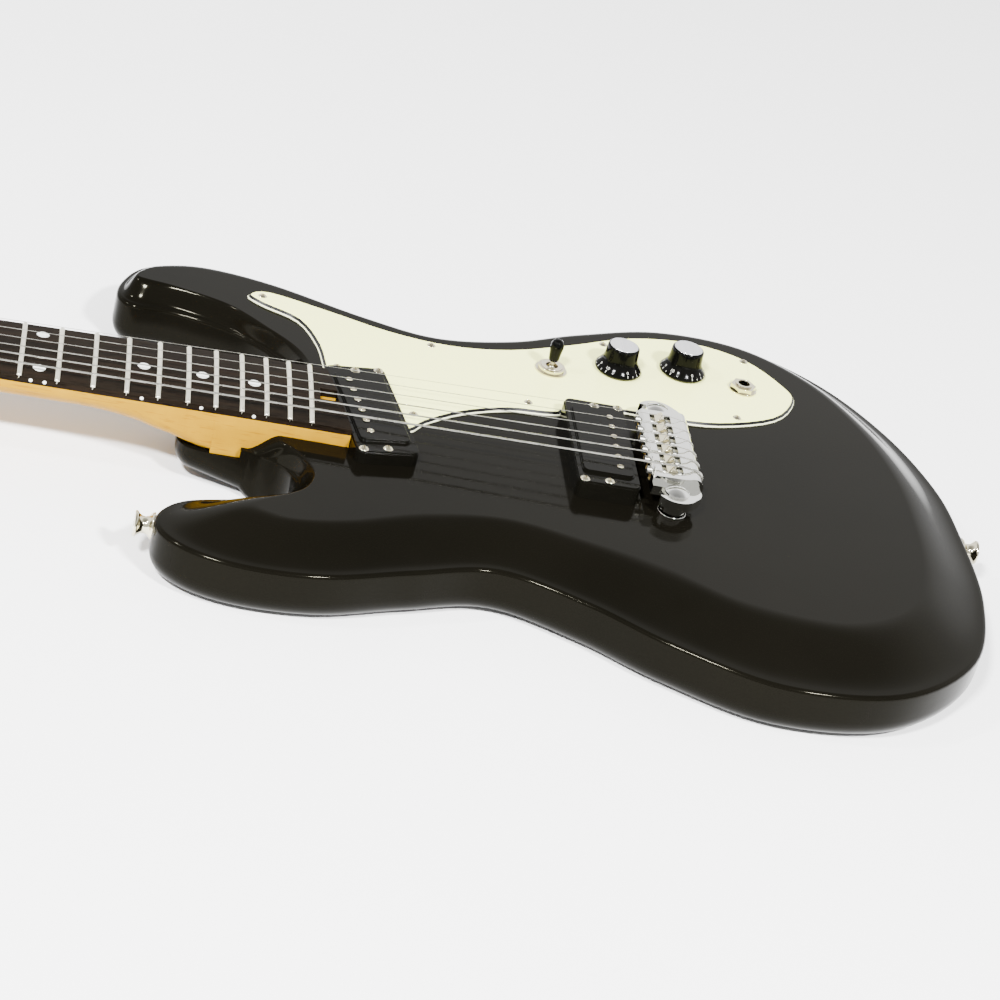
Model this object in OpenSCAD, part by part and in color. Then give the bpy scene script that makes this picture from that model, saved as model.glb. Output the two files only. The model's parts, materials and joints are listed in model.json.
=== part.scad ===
// Solid-body electric guitar, lying on its back with the strings up.
// Frame: X along the strings (+X to the butt end, the saddle line at X = 0),
// Y across (+Y is the treble side), Z up from the flat back of the body. Millimetres.

/* [Scale and fretboard] */
// Scale length, from the nut to the saddle line
scale_len = 628; // [622:1:634]
// Number of frets
fret_count = 21; // [18:1:21]
// Width of the fretboard at the nut
nut_w = 42; // [40:0.5:44]
// Width of the fretboard at the 12th fret
board_w12 = 54.1; // [52:0.1:55]
// Fretboard thickness at its centre
board_t = 4.7; // [4:0.1:6]
// Radius of the fretboard's crown
board_r = 305; // [240:5:400]
// Fret crown height
fret_h = 1.1; // [0.8:0.1:1.4]
// Fret crown width
fret_w = 2.5; // [2:0.1:2.9]
// Diameter of a face dot
dot_d = 6.4; // [5:0.1:7]

/* [Neck] */
// Height of the fretboard's underside over the flat top, at the heel
neck_rise = 6.3; // [5.5:0.1:7]
// Tilt of the neck towards the strings, in degrees
neck_angle = 0.75; // [0.5:0.05:1]
// Depth of the neck wood along its playing length
neck_depth = 15.8; // [14:0.2:18]
// Depth of the heel below the fretboard
heel_depth = 22.8; // [21:0.2:24]
// Thickness of the headstock
head_t = 14; // [12:0.5:15]
// Step from the fretboard's underside down to the headstock face
head_step = 5.4; // [4:0.2:7]

/* [Body] */
// Body thickness under the flat top
body_t = 38; // [36:1:42]
// Drop from the flat top to the rim
carve_drop = 10.5; // [8:0.5:12]
// Radius of the back edge
back_round = 12; // [6:1:12]
// Radius of the rim edge
rim_round = 2.5; // [1:0.5:3]
// Thickness of the pickguard
guard_t = 2.3; // [1.6:0.1:3]

/* [Pickups] */
// Length of a pickup housing
housing_l = 84; // [80:1:88]
// Width of a pickup housing
housing_w = 33; // [31:0.5:35]
// Height of the neck pickup's housing over the top
neck_housing_h = 7.6; // [6:0.2:8.4]
// Height of the bridge pickup's housing over the top
bridge_housing_h = 10.2; // [9:0.2:11]
// Height of a cover over its housing
cover_h = 1.6; // [1:0.1:2]
// Slant of the neck pickup, in degrees
neck_slant = 10.7; // [9:0.1:12]

/* [Bridge and strings] */
// Height of the strings over the flat top at the saddles
string_h = 17.9; // [17:0.1:19]
// Distance between the outer strings at the saddles
string_span = 51; // [49:0.5:52]
// Distance between the outer strings at the nut
nut_span = 35; // [33:0.5:36]
// Distance between the two bridge studs
stud_gap = 84; // [82:0.5:86]
// Travel of a saddle either way
saddle_travel = 2.5; // [1:0.5:2.5]

/* [Controls] */
// Diameter of a knob's skirt
knob_d = 26; // [24:0.2:28]
// Height of a knob
knob_h = 15; // [14:0.2:17]
// Radius of the jack's bore
jack_r = 3.3; // [3.2:0.05:3.4]

/* [Hidden] */
$fn = 48;
TUNERS = 6;
STRINGS = 6;

// Clearances: slip for fixed pieces, run for a shaft that turns in a bore
slip = 0.05;
run = 0.06;
eps = 0.01;

// Pairs of points around the body, [rim, flat top]: the butt end, the bass side and its horn,
// the bass cutaway, the neck, the treble cutaway, the treble horn and the treble side
OUTLINE = [
    [[171.5, 0], [138, 0]], [[170, -63], [134, -56]], [[152, -121], [118, -98]],
    [[106, -162], [80, -121]], [[45, -170], [30, -116]], [[-8, -149], [-10, -95]],
    [[-48, -124], [-48, -82]], [[-92, -107], [-88, -73]], [[-135, -120], [-130, -81]],
    [[-176, -135], [-166, -97]], [[-212, -138], [-193, -104]], [[-240, -132], [-206, -102]],
    [[-257, -119], [-212, -99]], [[-260, -103], [-212, -95]], [[-249, -88], [-208, -91]],
    [[-226, -79], [-202, -87]], [[-206, -73], [-195, -82]], [[-195, -64], [-187, -73]],
    [[-192, -53], [-183.5, -60]], [[-197, -42], [-187, -49]], [[-208, -35], [-193, -40]],
    [[-219, -28], [-200, -31]], [[-220, 0], [-202, 0]], [[-219, 28], [-200, 31]],
    [[-208, 35], [-193, 38]], [[-196, 43], [-184, 45]], [[-195, 57], [-186, 57]],
    [[-202, 71], [-193, 69]], [[-215, 85], [-205.5, 82]], [[-235, 96], [-227, 101]],
    [[-258, 102], [-255, 111]], [[-277, 102], [-270, 114]], [[-285.5, 111], [-276, 116]],
    [[-283.5, 129], [-274, 122]], [[-271, 149], [-264, 130]], [[-241, 160.5], [-240, 136]],
    [[-202, 153], [-203, 130]], [[-158, 134], [-151, 110]], [[-113, 123], [-112, 101]],
    [[-68, 134], [-69, 112]], [[-24, 158], [-30, 133]], [[25, 177], [18, 153]],
    [[75, 174], [66, 151]], [[118, 146], [102, 124]], [[149, 100], [124, 83]],
    [[167, 48], [135, 41]]];
// Edge of the pickguard: the treble side, the butt end, the bridge, the neck pickup and the cutaway
GUARD = [
    [-217, 113], [-205, 119.5], [-172, 109.5], [-139, 98], [-106, 94], [-72, 101], [-36, 119],
    [0, 139], [37, 146], [68, 136], [87, 112], [90, 96], [75, 72], [41, 55.5], [10, 52],
    [-20, 52], [-52, 38], [-78, 34], [-104, 22], [-124, 6], [-134, -6], [-152, -12],
    [-168, 12], [-176, 40], [-180, 69], [-190, 93], [-209, 104.5]];
// Half outline of the headstock, from its root to the tip
HEAD = [[-667, 39.1], [-690, 41.5], [-730, 42.5], [-762, 41], [-780, 34], [-790, 22], [-797, 8]];
// The same half outline where it leaves the neck, as [x, half width]
HEAD_ROOT = [[-668, 39.3], [-654, 33], [-642, 24], [-634, 20.8]];
// Edge of the hollow under the pickguard
CAVITY = [[-66, 74], [-40, 70], [-10, 80], [30, 82], [66, 86], [76, 98], [68, 114],
    [36, 126], [-2, 118], [-36, 102], [-62, 94]];

GUARD_SCREWS = [[-209, 112.5], [-117, 89], [-170, 48], [-131, 11], [-67, 44], [-17, 124.5],
    [66, 133], [52, 66]];
SWITCH = [-51, 84];
VOLUME = [-12, 97];
TONE = [26, 107];
JACK = [60, 99];
HORN_BUTTON = [-259.5, -101];
BUTT_BUTTON = [171.8, 0];

// Heights
rim_z = body_t - carve_drop;
guard_z = body_t + guard_t;
pivot_x = -215;
pocket_drop = heel_depth - neck_rise;
saddle_z = body_t + string_h;
fret_top = board_t + fret_h;
head_z = -head_step;

// Neck plan
taper = (board_w12 - nut_w) / scale_len;
board_end = -166.3;
heel_start = -234;
nut_t = 3.5;

// Pickup places: the middle of each housing, and how far its poles sit from it
neck_pickup_x = -154.8;
bridge_pickup_x = -33.5;
pole_shift = 6.6;
pole_gap = 10;
pole_r = 1.8;
pole_h = 0.5;
mount_gap = 76;
cover_w = 28.4;
cover_l = 67;
housing_r = 4.5;

// Bridge
bridge_w = 68;
bridge_floor = body_t + 6.4;
lug_t = 5.2;
bar_floor = 6.7;
channel_z = 10.9;
channel_front = -3.4 - saddle_travel;
channel_rear = 2.9 + saddle_travel;
plate_front = -11;
saddle_w = 7.2;
pocket_w = 7.8;
screw_z = body_t + 13.1;
screw_r = 1.3;
nose_x = 10.8;
nose_r = 5;
nose_z = body_t + 11.5;
passage_z = body_t + 9.2;
seat_x = -7.6;
GAUGES = [1.17, 0.91, 0.66, 0.43, 0.33, 0.25];

// Tuners
POST_X = [-672, -707, -742];
post_y = 28;
worm_x = 7.6;
housing_depth = 12.4;

/* Curves */
function mix(a, b, t) = a + (b - a) * t;
function unit(v) = v / norm(v);
// A smooth curve through four points, from b to c
function curve_at(a, b, c, d, t) =
    (2 * b + (c - a) * t + (2 * a - 5 * b + 4 * c - d) * t * t
    + (3 * b - a - 3 * c + d) * t * t * t) / 2;
function closed_curve(p, steps) = [for (i = [0 : len(p) - 1], k = [0 : steps - 1])
    curve_at(p[(i + len(p) - 1) % len(p)], p[i], p[(i + 1) % len(p)],
        p[(i + 2) % len(p)], k / steps)];
function half_board(x) = nut_w / 2 + taper * (x + scale_len);
function fret_x(n) = -scale_len * pow(2, -n / 12);
function dot_x(n) = (fret_x(n) + fret_x(n - 1)) / 2;
function slant_end(y) = board_end - (y + half_board(board_end)) * tan(neck_slant);
// The strings are numbered from the bass side
function saddle_y(k) = string_span * ((k - 1) / (STRINGS - 1) - 0.5);
function nut_y(k) = nut_span * ((k - 1) / (STRINGS - 1) - 0.5);
function post_side(k) = k <= 3 ? -1 : 1;
function post_x(k) = POST_X[k <= 3 ? k - 1 : 6 - k];
function post_at(k) = [post_x(k), post_side(k) * post_y];
// Row height of a point of the neck's own frame
function neck_world(x, z) = [
    pivot_x + (x - pivot_x) * cos(neck_angle) - z * sin(neck_angle),
    body_t + neck_rise + (x - pivot_x) * sin(neck_angle) + z * cos(neck_angle)];

/* Shared shapes */
// The neck's own frame: X along it, Z = 0 at the underside of the fretboard
module in_neck() {
    translate([pivot_x, 0, body_t + neck_rise]) rotate([0, -neck_angle, 0])
        translate([-pivot_x, 0, 0]) children();
}

// A round bar between two points
module bar(a, b, r) {
    d = b - a;
    translate(a) rotate([0, acos(d[2] / norm(d)), atan2(d[1], d[0])])
        cylinder(h = norm(d), r = r, $fn = 24);
}

module rounded_plate(l, w, h, r) {
    linear_extrude(h) union() {
        square([l - 2 * r, w], center = true);
        square([l, w - 2 * r], center = true);
        for (i = [-1, 1], j = [-1, 1]) translate([i * (l / 2 - r), j * (w / 2 - r)]) circle(r);
    }
}

// A countersunk, oval-headed screw with a cross recess, its head's rim at z = 0
module oval_screw(head_r, shank_r, l) {
    difference() {
        union() {
            translate([0, 0, -head_r * 0.55])
                cylinder(h = head_r * 0.55, r1 = shank_r, r2 = head_r, $fn = 32);
            intersection() {
                translate([0, 0, head_r * 0.45 - head_r * 1.35]) sphere(head_r * 1.35, $fn = 48);
                cylinder(h = head_r, r = head_r, $fn = 32);
            }
            translate([0, 0, -l]) cylinder(h = l - head_r * 0.5, r = shank_r, $fn = 24);
        }
        for (a = [0, 90]) rotate([0, 0, a]) translate([-head_r * 0.5, -head_r * 0.11, 0])
            cube([head_r, head_r * 0.22, head_r]);
    }
}
// The space that such a screw needs
module oval_screw_hole(head_r, shank_r, l) {
    translate([0, 0, -head_r * 0.55])
        cylinder(h = head_r * 0.55 + eps, r1 = shank_r + slip, r2 = head_r + slip, $fn = 32);
    translate([0, 0, -l - slip]) cylinder(h = l, r = shank_r + slip, $fn = 24);
}

/* Body */
rim_curve = closed_curve([for (p = OUTLINE) p[0]], 3);
top_curve = closed_curve([for (p = OUTLINE) p[1]], 3);

// Levels of the body's edge, from the back up: [blend to the flat top, inset, height]
EDGE = concat(
    [for (a = [0 : 22.5 : 90]) [0, back_round * (1 - sin(a)), back_round * (1 - cos(a))]],
    [for (a = [0 : 45 : 90]) [0, rim_round * (1 - cos(a)), rim_z + rim_round * (sin(a) - 1)]],
    [for (s = [0.14, 0.3, 0.45, 0.6, 0.76, 1]) [s, rim_round,
        rim_z + carve_drop * s * s * (3 - 2 * s)]]);
// A point of the edge at outline point i
function edge_point(i, e) = let (
    gap = top_curve[i] - rim_curve[i],
    inset = min(e[1], 0.85 * norm(gap)),
    start = rim_curve[i] + unit(gap) * inset,
    at = mix(start, top_curve[i], e[0]))
    [at[0], at[1], e[2]];

module body_edge() {
    n = len(rim_curve);
    m = len(EDGE) + 1;
    points = [for (i = [0 : n - 1]) each concat(
        [[top_curve[i][0], top_curve[i][1], 0]], [for (e = EDGE) edge_point(i, e)])];
    faces = [for (i = [0 : n - 1], j = [0 : m - 1]) let (
        a = i * m, b = ((i + 1) % n) * m, k = (j + 1) % m) each
        [[a + j, b + j, a + k], [b + j, b + k, a + k]]];
    polyhedron(points, faces, convexity = 10);
}

// The tongue of the body that carries the neck beyond the cutaways
tongue_end = -250.5;
tongue_hw = 28;
tongue_r = 12;
nose_disc_r = 23;
module neck_tongue() {
    profile_h = body_t + neck_rise;
    difference() {
        hull() {
            for (j = [-1, 1])
                translate([tongue_end + tongue_r, j * (tongue_hw - tongue_r), 17]) {
                    cylinder(h = rim_z - 17, r = tongue_r, $fn = 32);
                    sphere(tongue_r, $fn = 32);
                }
            translate([tongue_end + nose_disc_r + 1, 0, 0]) rotate_extrude($fn = 32)
                polygon(concat([[0, 0], [nose_disc_r - 12, 0]],
                    [for (a = [18 : 18 : 90]) [nose_disc_r - 12 + 12 * sin(a), 12 - 12 * cos(a)]],
                    [[0, 12]]));
            for (j = [-1, 1]) translate([-206, j * (tongue_hw + 2), 0]) rotate([90, 0, 90])
                linear_extrude(4) polygon(concat([[0, rim_z], [0, 0]],
                    [for (a = [18 : 18 : 90]) [j * (-5 + 9 * sin(a)), 9 - 9 * cos(a)]],
                    [[j * 4, rim_z]]));
        }
        in_neck() translate([-320, -50, -heel_depth]) cube([101, 100, profile_h]);
    }
}

// Plan of the heel, grown by gap
module heel_plan(gap) {
    polygon([[heel_start, -half_board(heel_start) - gap],
        [slant_end(-half_board(board_end)) + gap, -half_board(board_end) - gap],
        [slant_end(half_board(board_end)) + gap, half_board(board_end) + gap],
        [heel_start, half_board(heel_start) + gap]]);
}

NECK_SCREWS = [for (x = [-210, -182], y = [-13, 13]) [x, y]];
plate_x = -196;
neck_screw_top = 34;
plate_t = 1.6;

module at_neck_pickup() {
    translate([neck_pickup_x, 0, 0]) rotate([0, 0, neck_slant]) children();
}
module at_bridge_pickup() {
    translate([bridge_pickup_x, 0, 0]) children();
}
// The four screws of a pickup: one in the middle of each end, and one in a corner at each end
PICKUP_SCREWS = [[0, -mount_gap / 2], [0, mount_gap / 2], [-13, -39.3], [13, 39.3]];
pickup_screw_l = 18;

module stud_places() {
    for (j = [-1, 1]) translate([1, j * stud_gap / 2, 0]) children();
}

module body() {
    color([0.03, 0.03, 0.03]) difference() {
        union() {
            linear_extrude(body_t) polygon(top_curve);
            body_edge();
            neck_tongue();
        }
        // Neck pocket
        in_neck() translate([0, 0, -heel_depth]) linear_extrude(60) heel_plan(0);
        in_neck() translate([-320, -24, -heel_depth]) cube([80, 48, 60]);
        // Pickup hollows
        at_neck_pickup() translate([0, 0, 20]) rounded_plate(27, 68, 40, 4);
        at_bridge_pickup() translate([0, 0, 16]) rounded_plate(27, 68, 40, 4);
        // Hollow for the controls, and the drillings for their wires
        translate([0, 0, 6]) linear_extrude(body_t) polygon(closed_curve(CAVITY, 3));
        bar([-140, 0, 26], [-45, 0, 26], 3);
        bar([-33, 20, 24], [-20, 90, 24], 3);
        // Bushings of the bridge studs
        stud_places() translate([0, 0, body_t - 18]) cylinder(h = 30, r = 5.6 + slip);
        stud_places() translate([0, 0, body_t - 21]) cylinder(h = 30, r = 3.2);
        // Screws
        for (p = GUARD_SCREWS) translate([p[0], p[1], guard_z])
            oval_screw_hole(2.4, 1.3, 14);
        at_neck_pickup() for (p = PICKUP_SCREWS)
            translate([p[0], p[1], body_t + neck_housing_h]) oval_screw_hole(2.6, 1.4, 22);
        at_bridge_pickup() for (p = PICKUP_SCREWS)
            translate([p[0], p[1], body_t + bridge_housing_h]) oval_screw_hole(2.6, 1.4, 22);
        for (p = NECK_SCREWS) translate([p[0], p[1], -1]) cylinder(h = 40, r = 2.2 + slip);
        translate([plate_x, 0, -eps]) rounded_plate(44.4, 38.4, plate_t + eps, 5.2);
        translate([HORN_BUTTON[0] + 40, HORN_BUTTON[1], 19]) rotate([0, -90, 0])
            cylinder(h = 60, r = 1.9 + slip);
        translate([HORN_BUTTON[0], HORN_BUTTON[1], 19]) rotate([0, -90, 0])
            cylinder(h = 12, r = 7);
        translate([BUTT_BUTTON[0] - 30, 0, 19]) rotate([0, 90, 0])
            cylinder(h = 60, r = 1.9 + slip);
    }
}

/* Neck */
// Depth and squareness of the neck along its length, from the headstock to the heel
NECK_SECTIONS = concat(
    [[-668, head_step + head_t - 0.05, 9], [-660, 18.7, 5], [-652, 17.2, 3.4], [-644, 15.9, 2.7]],
    [for (i = [0 : 6]) let (x = mix(-634, -316, i / 6)) [x, neck_depth - 0.9 + 0.9 * i / 6, 2.2]],
    [[-302, neck_depth, 2.2], [-290, neck_depth + 0.5, 2.3], [-280, neck_depth + 1.4, 2.5],
     [-271, neck_depth + 2.7, 2.8], [-263, neck_depth + 4.3, 3.4],
     [-255, heel_depth - 2.2, 4.4], [-247, heel_depth - 0.8, 6], [-240, heel_depth - 0.2, 9],
     [-233, heel_depth - 0.05, 14]]);
function power(v, p) = sign(v) * pow(abs(v), p);
function neck_hw(x) = x < -634 ? lookup(x, HEAD_ROOT) : half_board(x) - 0.1;
function neck_ring(s) = let (hw = neck_hw(s[0]), e = 2 / s[2])
    [for (a = [0 : 15 : 180]) [s[0], -hw * power(cos(a), e), -s[1] * pow(sin(a), e)]];

module neck_loft() {
    rings = [for (s = NECK_SECTIONS) neck_ring(s)];
    n = len(rings[0]);
    m = len(rings);
    faces = concat(
        [[for (j = [0 : n - 1]) j]],
        [[for (j = [0 : n - 1]) m * n - 1 - j]],
        [for (i = [0 : m - 2], j = [0 : n - 1]) let (
            a = i * n + j, b = i * n + (j + 1) % n, c = a + n, d = b + n) each
            [[a, c, b], [b, c, d]]]);
    polyhedron([for (r = rings) each r], faces, convexity = 4);
}

module head_plan() {
    polygon(concat([for (p = HEAD) [p[0], p[1]]],
        [for (i = [len(HEAD) - 1 : -1 : 0]) [HEAD[i][0], -HEAD[i][1]]]));
}

module neck() {
    color([0.85, 0.62, 0.28]) difference() {
        in_neck() difference() {
            union() {
                neck_loft();
                translate([0, 0, -heel_depth]) linear_extrude(heel_depth) heel_plan(0);
                translate([0, 0, head_z - head_t]) linear_extrude(head_t + 1) head_plan();
            }
            // Face of the headstock, with the curved step up to the nut
            translate([0, 60, 0]) rotate([90, 0, 0]) linear_extrude(120) polygon([
                [-900, head_z], [-642, head_z], [-638.4, head_z + 0.8], [-636, head_z + 2.4],
                [-634.8, 1], [-634.8, 20], [-900, 20]]);
            // Tuner holes
            for (k = [1 : TUNERS]) translate([post_at(k)[0], post_at(k)[1], head_z - 40])
                cylinder(h = 60, r = 4.9 + slip);
            // Truss rod channel, and the mouth at the body end where its nut is turned
            translate([-620, -3, -9]) cube([440, 6, 9 + 1]);
            translate([-190, -5.5, -9]) cube([30, 11, 9 + 1]);
        }
        for (p = NECK_SCREWS) translate([p[0], p[1], 10])
            cylinder(h = neck_screw_top - 10 + slip, r = 2.2 + slip);
    }
}

module truss_rod() {
    color("silver") in_neck() union() {
        bar([-615, 0, -4.4], [-186, 0, -4.4], 2.4);
        translate([-619, -2.9, -7.4]) cube([8, 5.8, 6]);
    }
}
module truss_rod_nut() {
    color("silver") in_neck() translate([-185.9, 0, -4.4]) rotate([0, 90, 0]) difference() {
        cylinder(h = 9, r = 4);
        translate([0, 0, 4]) cylinder(h = 6, r = 2.3, $fn = 6);
    }
}

module fretboard() {
    color([0.09, 0.06, 0.05]) in_neck() difference() {
        intersection() {
            linear_extrude(board_t + 1) polygon([
                [-scale_len, -half_board(-scale_len)],
                [slant_end(-half_board(board_end)), -half_board(board_end)],
                [slant_end(half_board(board_end)), half_board(board_end)],
                [-scale_len, half_board(-scale_len)]]);
            translate([-scale_len - 1, 0, board_t - board_r]) rotate([0, 90, 0])
                cylinder(h = scale_len, r = board_r, $fn = 240);
        }
        for (n = [1 : fret_count]) translate([fret_x(n) - 0.3, -40, board_t - 3.2])
            cube([0.6, 80, 6]);
        for (p = DOTS) translate([dot_x(p[0]), p[1], 1]) cylinder(h = 9, r = dot_d / 2, $fn = 32);
        for (x = SIDE_DOTS) translate([x, 3 - half_board(x), side_dot_z]) rotate([90, 0, 0])
            cylinder(h = 5, r = side_dot_r, $fn = 24);
        translate([-182, -5.5, -eps]) cube([30, 11, 9]);
    }
}
// Face dots, [fret, y]
SIDE_DOTS = concat([for (n = [3, 5, 7, 9, 15, 17, 19]) dot_x(n)], [dot_x(12) - 3.4, dot_x(12) + 3.4]);
side_dot_z = 1.9;
side_dot_r = 1;
DOTS = [[3, 0], [5, 0], [7, 0], [9, 0], [12, -17], [12, 17], [15, 0], [17, 0], [19, 0]];

fret_tang = 0.55;
module fret(n) {
    x = fret_x(n);
    hw = half_board(x) - 0.1;
    span = asin(hw / board_r);
    translate([x, 0, board_t - board_r]) rotate([0, -90, 0]) rotate([0, 0, -span])
        rotate_extrude(angle = 2 * span, $fn = 360) translate([board_r, 0]) polygon([
            [-1.6, -fret_tang / 2], [0, -fret_tang / 2], [0, -fret_w / 2], [0.5, -fret_w / 2],
            [fret_h, -fret_w / 6], [fret_h, fret_w / 6], [0.5, fret_w / 2], [0, fret_w / 2],
            [0, fret_tang / 2], [-1.6, fret_tang / 2]]);
}
module frets() {
    color([0.8, 0.79, 0.72]) in_neck() for (n = [1 : fret_count]) fret(n);
}

module nut() {
    color([0.93, 0.9, 0.8]) in_neck() difference() {
        translate([-scale_len - nut_t, -nut_w / 2, 0]) cube([nut_t - eps, nut_w, fret_top + 1.2]);
        for (k = [1 : STRINGS]) translate([-scale_len - nut_t - 1, nut_y(k),
            fret_top + 0.5 + GAUGES[k - 1] / 2]) rotate([0, 90, 0])
            cylinder(h = nut_t + 2, r = GAUGES[k - 1] / 2 + 0.05, $fn = 16);
        for (k = [1 : STRINGS]) translate([-scale_len - nut_t - 1, nut_y(k)
            - GAUGES[k - 1] / 2 - 0.05, fret_top + 0.5 + GAUGES[k - 1] / 2])
            cube([nut_t + 2, GAUGES[k - 1] + 0.1, 4]);
    }
}

module position_dots() {
    color([0.85, 0.86, 0.84]) in_neck() {
        for (p = DOTS) intersection() {
            translate([dot_x(p[0]), p[1], 1]) cylinder(h = 9, r = dot_d / 2 - 0.01, $fn = 32);
            translate([-scale_len - 1, 0, board_t - board_r]) rotate([0, 90, 0])
                cylinder(h = scale_len, r = board_r, $fn = 240);
        }
        for (x = SIDE_DOTS) translate([x, 2.99 - half_board(x), side_dot_z]) rotate([90, 0, 0])
            cylinder(h = 2.97, r = side_dot_r - 0.01, $fn = 24);
    }
}

/* Fixings of the neck, and the strap buttons */
module neck_plate() {
    color("silver") difference() {
        translate([plate_x, 0, 0]) rounded_plate(44, 38, plate_t, 5);
        for (p = NECK_SCREWS) translate([p[0], p[1], -1]) cylinder(h = 4, r = 2.3);
        for (p = NECK_SCREWS) translate([p[0], p[1], -eps])
            cylinder(h = 1.4, r1 = 4.5, r2 = 2.4);
    }
}
module neck_screws() {
    color("silver") for (p = NECK_SCREWS) translate([p[0], p[1], 0]) difference() {
        union() {
            cylinder(h = 1.35, r1 = 4.4, r2 = 2.2);
            cylinder(h = neck_screw_top, r = 2.2);
        }
        for (a = [0, 90]) rotate([0, 0, a]) translate([-2.4, -0.5, -eps]) cube([4.8, 1, 1]);
    }
}

// A strap button, its base at the origin and its axis along Z
button_h = 9.8;
module strap_button() {
    difference() {
        rotate_extrude() polygon([[2.1, 0], [6.8, 0], [6.6, 1.2], [4.6, 3], [4, 4.6], [4.3, 6.2],
            [5.4, 7.8], [6.4, 8.6], [6.4, button_h], [2.1, button_h]]);
        translate([0, 0, button_h - 2.2]) cylinder(h = 2.4, r1 = 2.1, r2 = 4.55);
    }
}
module strap_screw() {
    difference() {
        union() {
            translate([0, 0, button_h - 2.15]) cylinder(h = 2.1, r1 = 2, r2 = 4.2);
            translate([0, 0, -24]) cylinder(h = 24 + button_h - 2.1, r = 1.9);
        }
        for (a = [0, 90]) rotate([0, 0, a]) translate([-2.2, -0.45, button_h - 1.4])
            cube([4.4, 0.9, 3]);
    }
}
module at_buttons() {
    translate([HORN_BUTTON[0], HORN_BUTTON[1], 19]) rotate([0, -90, 0]) children();
    translate([BUTT_BUTTON[0], BUTT_BUTTON[1], 19]) rotate([0, 90, 0]) children();
}
module strap_buttons() { color("silver") at_buttons() strap_button(); }
module strap_button_screws() { color("silver") at_buttons() strap_screw(); }

/* Pickguard */
module pickguard() {
    color([0.86, 0.92, 0.78]) difference() {
        translate([0, 0, body_t]) linear_extrude(guard_t) polygon(closed_curve(GUARD, 4));
        at_neck_pickup() translate([0, 0, body_t - 1])
            rounded_plate(housing_w + 2 * slip, housing_l + 2 * slip, 6, housing_r);
        at_bridge_pickup() translate([0, 0, body_t - 1])
            rounded_plate(housing_w + 2 * slip, housing_l + 2 * slip, 6, housing_r);
        in_neck() translate([0, 0, -20]) linear_extrude(40) heel_plan(0.3);
        translate([1, stud_gap / 2, body_t - 1]) cylinder(h = 6, r = 12);
        for (p = GUARD_SCREWS) translate([p[0], p[1], guard_z]) oval_screw_hole(2.4, 1.3, 14);
        translate([SWITCH[0], SWITCH[1], 0]) cylinder(h = 60, r = 6 + slip);
        translate([VOLUME[0], VOLUME[1], 0]) cylinder(h = 60, r = 4.7 + slip);
        translate([TONE[0], TONE[1], 0]) cylinder(h = 60, r = 4.7 + slip);
        translate([JACK[0], JACK[1], 0]) cylinder(h = 60, r = 4.7 + slip);
    }
}
module pickguard_screws() {
    color("silver") for (i = [0 : len(GUARD_SCREWS) - 1])
        translate([GUARD_SCREWS[i][0], GUARD_SCREWS[i][1], guard_z]) rotate([0, 0, 37 * i])
        oval_screw(2.4, 1.3, 14);
}

/* Pickups */
// A housing with an open middle, its top at height h over the body
module housing(h) {
    difference() {
        translate([0, 0, body_t]) union() {
            rounded_plate(housing_w, housing_l, h - 1.2, housing_r);
            translate([0, 0, h - 1.2 - eps])
                rounded_plate(housing_w - 1, housing_l - 1, 1.2, housing_r - 0.5);
        }
        translate([0, 0, body_t - 1]) rounded_plate(cover_w - 3, cover_l - 3, h - 1, 3);
        translate([0, 0, body_t + h - 2.6])
            rounded_plate(cover_w - 1 + 0.1, cover_l + 0.1, 5, 3.5);
        for (p = PICKUP_SCREWS) translate([p[0], p[1], body_t + h])
            oval_screw_hole(2.6, 1.4, 22);
    }
}
// The raised cover of a pickup, with its pole holes on one side
module cover(h, side) {
    difference() {
        translate([0, 0, body_t + h - 2.6]) union() {
            rounded_plate(cover_w - 1, cover_l, 2.6 + cover_h - 1, 3.5);
            translate([0, 0, 2.6 + cover_h - 1 - eps])
                rounded_plate(cover_w - 2.4, cover_l - 1.4, 1, 2.8);
        }
        translate([0, 0, body_t + h - 3]) rounded_plate(cover_w - 4, cover_l - 4, 2.6, 2);
        for (k = [1 : STRINGS]) translate([side * pole_shift, (k - 3.5) * pole_gap, body_t])
            cylinder(h = 30, r = pole_r + slip, $fn = 24);
    }
}
module poles(h, side) {
    for (k = [1 : STRINGS]) translate([side * pole_shift, (k - 3.5) * pole_gap,
        body_t + h + cover_h + pole_h]) difference() {
        union() {
            translate([0, 0, -2]) cylinder(h = 2, r = pole_r, $fn = 24);
            translate([0, 0, -h - 9]) cylinder(h = h + 8, r = 1.4, $fn = 24);
        }
        translate([-3, -0.3, -0.8]) cube([6, 0.6, 1]);
    }
}
module bobbin(h, side) {
    difference() {
        translate([side * pole_shift, 0, body_t + h - 12]) union() {
            rounded_plate(10, 62, 1.2, 4.9);
            translate([0, 0, 8]) rounded_plate(10, 62, 1.2, 4.9);
            rounded_plate(5, 57, 9, 2.4);
        }
        for (k = [1 : STRINGS]) translate([side * pole_shift, (k - 3.5) * pole_gap, body_t - 12])
            cylinder(h = 40, r = 1.4 + slip, $fn = 24);
    }
}
module coil(h, side) {
    translate([side * pole_shift, 0, body_t + h - 10.8 + slip]) difference() {
        rounded_plate(9.4, 61.4, 6.8 - 2 * slip, 4.6);
        translate([0, 0, -1]) rounded_plate(5 + 2 * slip, 57 + 2 * slip, 9, 2.45);
    }
}
module magnet(h, side) {
    translate([-side * 3, 0, body_t + h - 14.2]) rounded_plate(8, 60, 3, 0.5);
}
module neck_pickup_housing() { color([0.05, 0.05, 0.05]) at_neck_pickup() housing(neck_housing_h); }
module bridge_pickup_housing() {
    color([0.05, 0.05, 0.05]) at_bridge_pickup() housing(bridge_housing_h);
}
module neck_pickup_cover() { color([0.08, 0.08, 0.08]) at_neck_pickup() cover(neck_housing_h, -1); }
module bridge_pickup_cover() {
    color([0.08, 0.08, 0.08]) at_bridge_pickup() cover(bridge_housing_h, 1);
}
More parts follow.
